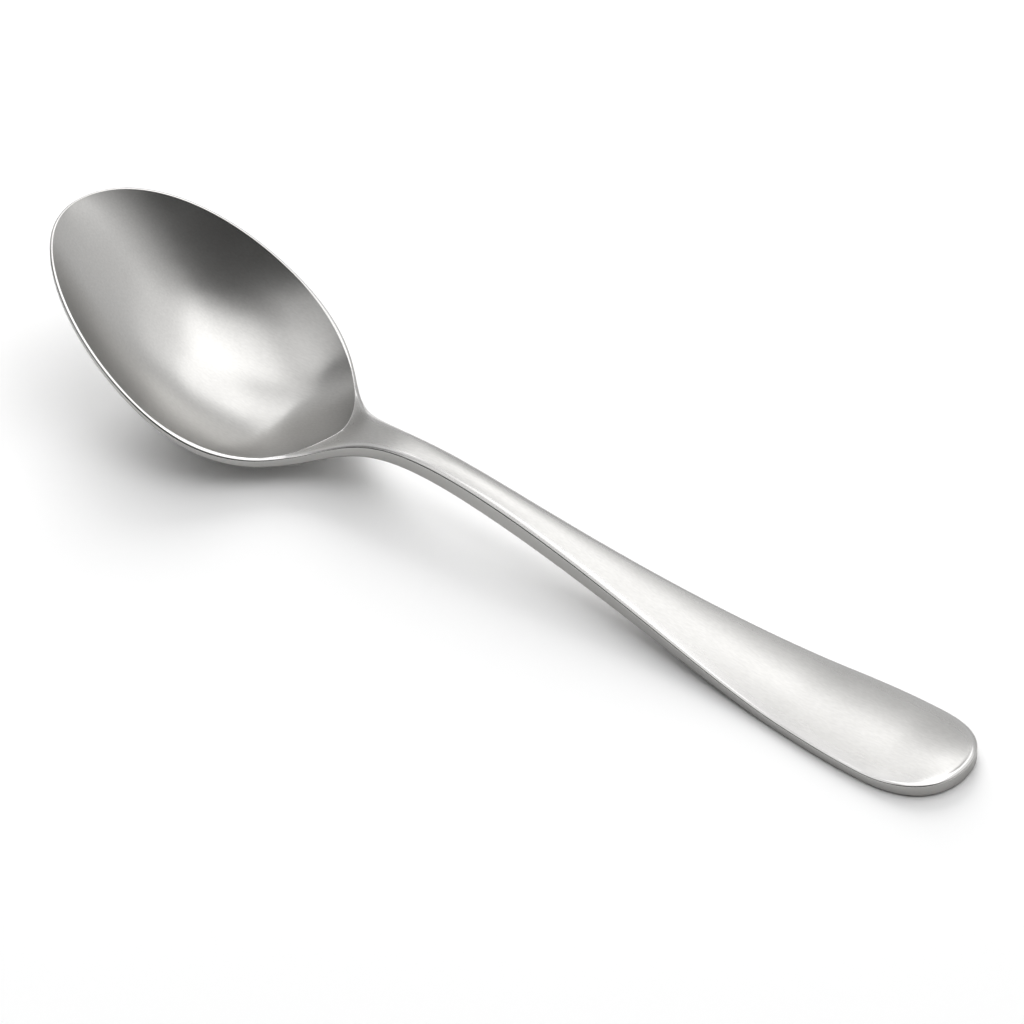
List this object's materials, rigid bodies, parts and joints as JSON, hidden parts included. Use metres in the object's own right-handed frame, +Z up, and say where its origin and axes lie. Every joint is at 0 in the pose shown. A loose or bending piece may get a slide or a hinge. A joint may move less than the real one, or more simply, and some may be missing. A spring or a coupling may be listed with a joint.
{
  "type": "soup spoon",
  "caption": "Soup spoon with a deep egg-shaped bowl, a slim arched neck and a handle that widens to a rounded flat end, for eating and serving liquid food.",
  "frame": {"origin": "bottom centre of the bounding box, on the table the spoon lies on, half way along it", "axes": "+X from the bowl's tip to the handle's end, +Z up from the table, Y across the spoon"},
  "size_m": [0.2, 0.0464, 0.0279],
  "materials": {
    "satin_steel": "satin, with brighter polished edges"
  },
  "bodies": {
    "root": {"spoon": "satin_steel"}
  },
  "joints": []
}
